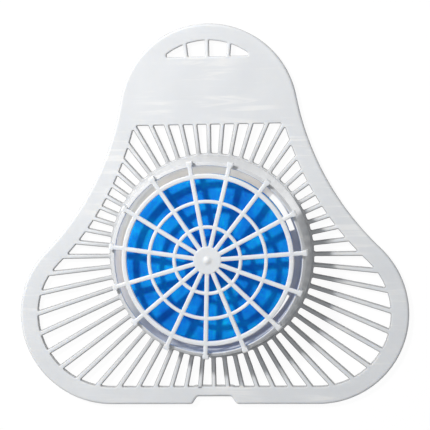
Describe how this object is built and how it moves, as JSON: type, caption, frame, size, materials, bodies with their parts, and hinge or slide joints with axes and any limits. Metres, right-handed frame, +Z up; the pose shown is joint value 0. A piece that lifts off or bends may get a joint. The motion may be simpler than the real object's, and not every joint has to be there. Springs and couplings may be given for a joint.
{
  "type": "urinal deodorizer screen",
  "caption": "White soft plastic urinal screen with radial ribs and a raised round cage that holds a blue deodorizer block.",
  "frame": {"origin": "under the middle of the screen's outline, on the surface it lies on", "axes": "+Z up out of the cage, +Y towards the solid plate, +X across the two lobes"},
  "size_m": [0.18, 0.1752, 0.0222],
  "materials": {
    "screen_plastic": "satin",
    "cover_plastic": "satin",
    "scented_block": "waxy"
  },
  "bodies": {
    "root": {"screen": "screen_plastic", "deodorizer_block": "scented_block", "cage_cover": "cover_plastic"}
  },
  "joints": []
}
